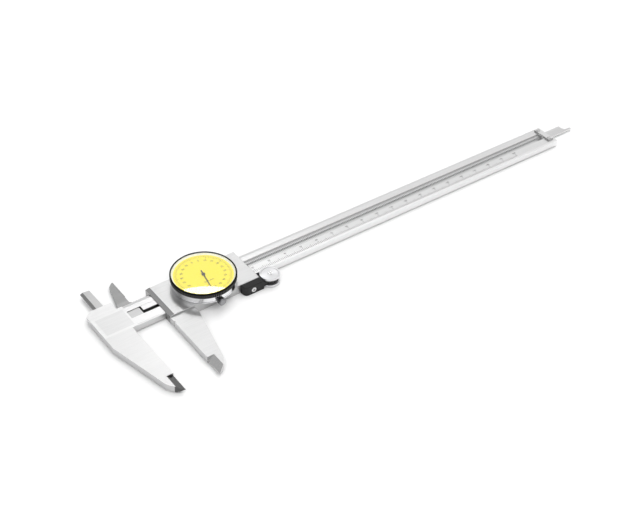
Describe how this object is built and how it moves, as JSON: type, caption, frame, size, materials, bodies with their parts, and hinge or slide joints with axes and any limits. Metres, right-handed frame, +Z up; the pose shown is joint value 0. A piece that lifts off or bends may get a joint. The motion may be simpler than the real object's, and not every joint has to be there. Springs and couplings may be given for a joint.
{
  "type": "dial caliper",
  "caption": "Dial caliper with outside and inside jaws, depth rod, toothed rack, geared pointer under a turning bezel, lock screws and thumb roller.",
  "frame": {"origin": "foot of the dial axis on the plane that the slider's back plate rests on", "axes": "+X along the beam to its far end, +Y towards the inside jaws, +Z up through the dial"},
  "size_m": [0.3159, 0.0864, 0.0115],
  "materials": {
    "beam_steel": "satin",
    "slider_steel": "satin",
    "rack_steel": "satin",
    "screw_steel": "polished",
    "spring_steel": "polished",
    "gear_steel": "satin",
    "knob_chrome": "polished",
    "lock_steel": "polished",
    "case_chrome": "polished",
    "gib_brass": "satin",
    "movement_brass": "satin",
    "bezel_black": "satin",
    "bracket_black": "matte",
    "pointer_black": "matte",
    "dial_yellow": "matte",
    "rim_white": "matte",
    "crystal_clear": "polished"
  },
  "bodies": {
    "beam": {"beam_with_fixed_jaw": "beam_steel", "rack": "rack_steel", "rack_end_block": "beam_steel", "end_stop_plate": "beam_steel", "end_stop_screws": "screw_steel"},
    "slider": {"slider_frame": "slider_steel", "slider_back_plate": "slider_steel", "back_plate_screws": "screw_steel", "depth_rod": "beam_steel", "depth_rod_screws": "screw_steel", "gib_strip": "gib_brass", "gib_screws": "screw_steel", "dial_case": "case_chrome", "case_screws": "screw_steel", "lower_bushes": "movement_brass", "upper_bushes": "movement_brass", "movement_bridge": "movement_brass", "bridge_pillars": "movement_brass", "bridge_screws": "screw_steel", "roller_bracket": "bracket_black", "bracket_screw": "screw_steel"},
    "bezel": {"bezel_ring": "bezel_black", "bezel_snap_ring": "spring_steel", "dial_face": "dial_yellow", "dial_rim_ring": "rim_white", "crystal": "crystal_clear"},
    "bezel_lock": {"bezel_lock_screw": "lock_steel"},
    "slider_lock": {"slider_lock_screw": "lock_steel"},
    "arbor": {"pinion_arbor": "gear_steel", "drive_gear": "movement_brass", "anti_backlash_gear": "movement_brass", "backlash_spring": "spring_steel"},
    "pointer_shaft": {"center_pinion": "gear_steel", "pointer": "pointer_black"},
    "thumb_roller": {"roller_lower_disc": "knob_chrome", "roller_upper_disc": "knob_chrome", "roller_screw": "screw_steel"}
  },
  "joints": [
    {"name": "slider_slide", "type": "slide", "parent": "beam", "child": "slider", "axis": [1, 0, 0], "range_m": [-0.01853, 0.20697]},
    {"name": "arbor_spin", "type": "hinge", "parent": "slider", "child": "arbor", "pos_m": [0.00715, 0, 0.0063], "axis": [0, 0, 1], "continuous": true},
    {"name": "pointer_spin", "type": "hinge", "parent": "slider", "child": "pointer_shaft", "pos_m": [0, 0, 0.0063], "axis": [0, 0, 1], "continuous": true},
    {"name": "roller_spin", "type": "hinge", "parent": "slider", "child": "thumb_roller", "pos_m": [0.031, -0.0132, 0.0025], "axis": [0, 0, 1], "continuous": true},
    {"name": "bezel_turn", "type": "hinge", "parent": "slider", "child": "bezel", "pos_m": [0, 0, 0.009], "axis": [0, 0, 1], "continuous": true},
    {"name": "bezel_lock_turn", "type": "hinge", "parent": "slider", "child": "bezel_lock", "pos_m": [-0.0012, -0.0166, 0.0067], "axis": [0, -1, 0], "range_deg": [0, 720]},
    {"name": "slider_lock_turn", "type": "hinge", "parent": "slider", "child": "slider_lock", "pos_m": [0.0033, 0.01185, 0.0025], "axis": [0, 1, 0], "range_deg": [0, 720]}
  ],
  "couplings": [
    {"joint": "arbor_spin", "follows": "slider_slide", "rad_per_m": 628.32},
    {"joint": "pointer_spin", "follows": "slider_slide", "rad_per_m": -6283.2},
    {"joint": "roller_spin", "follows": "slider_slide", "rad_per_m": 192.31}
  ]
}
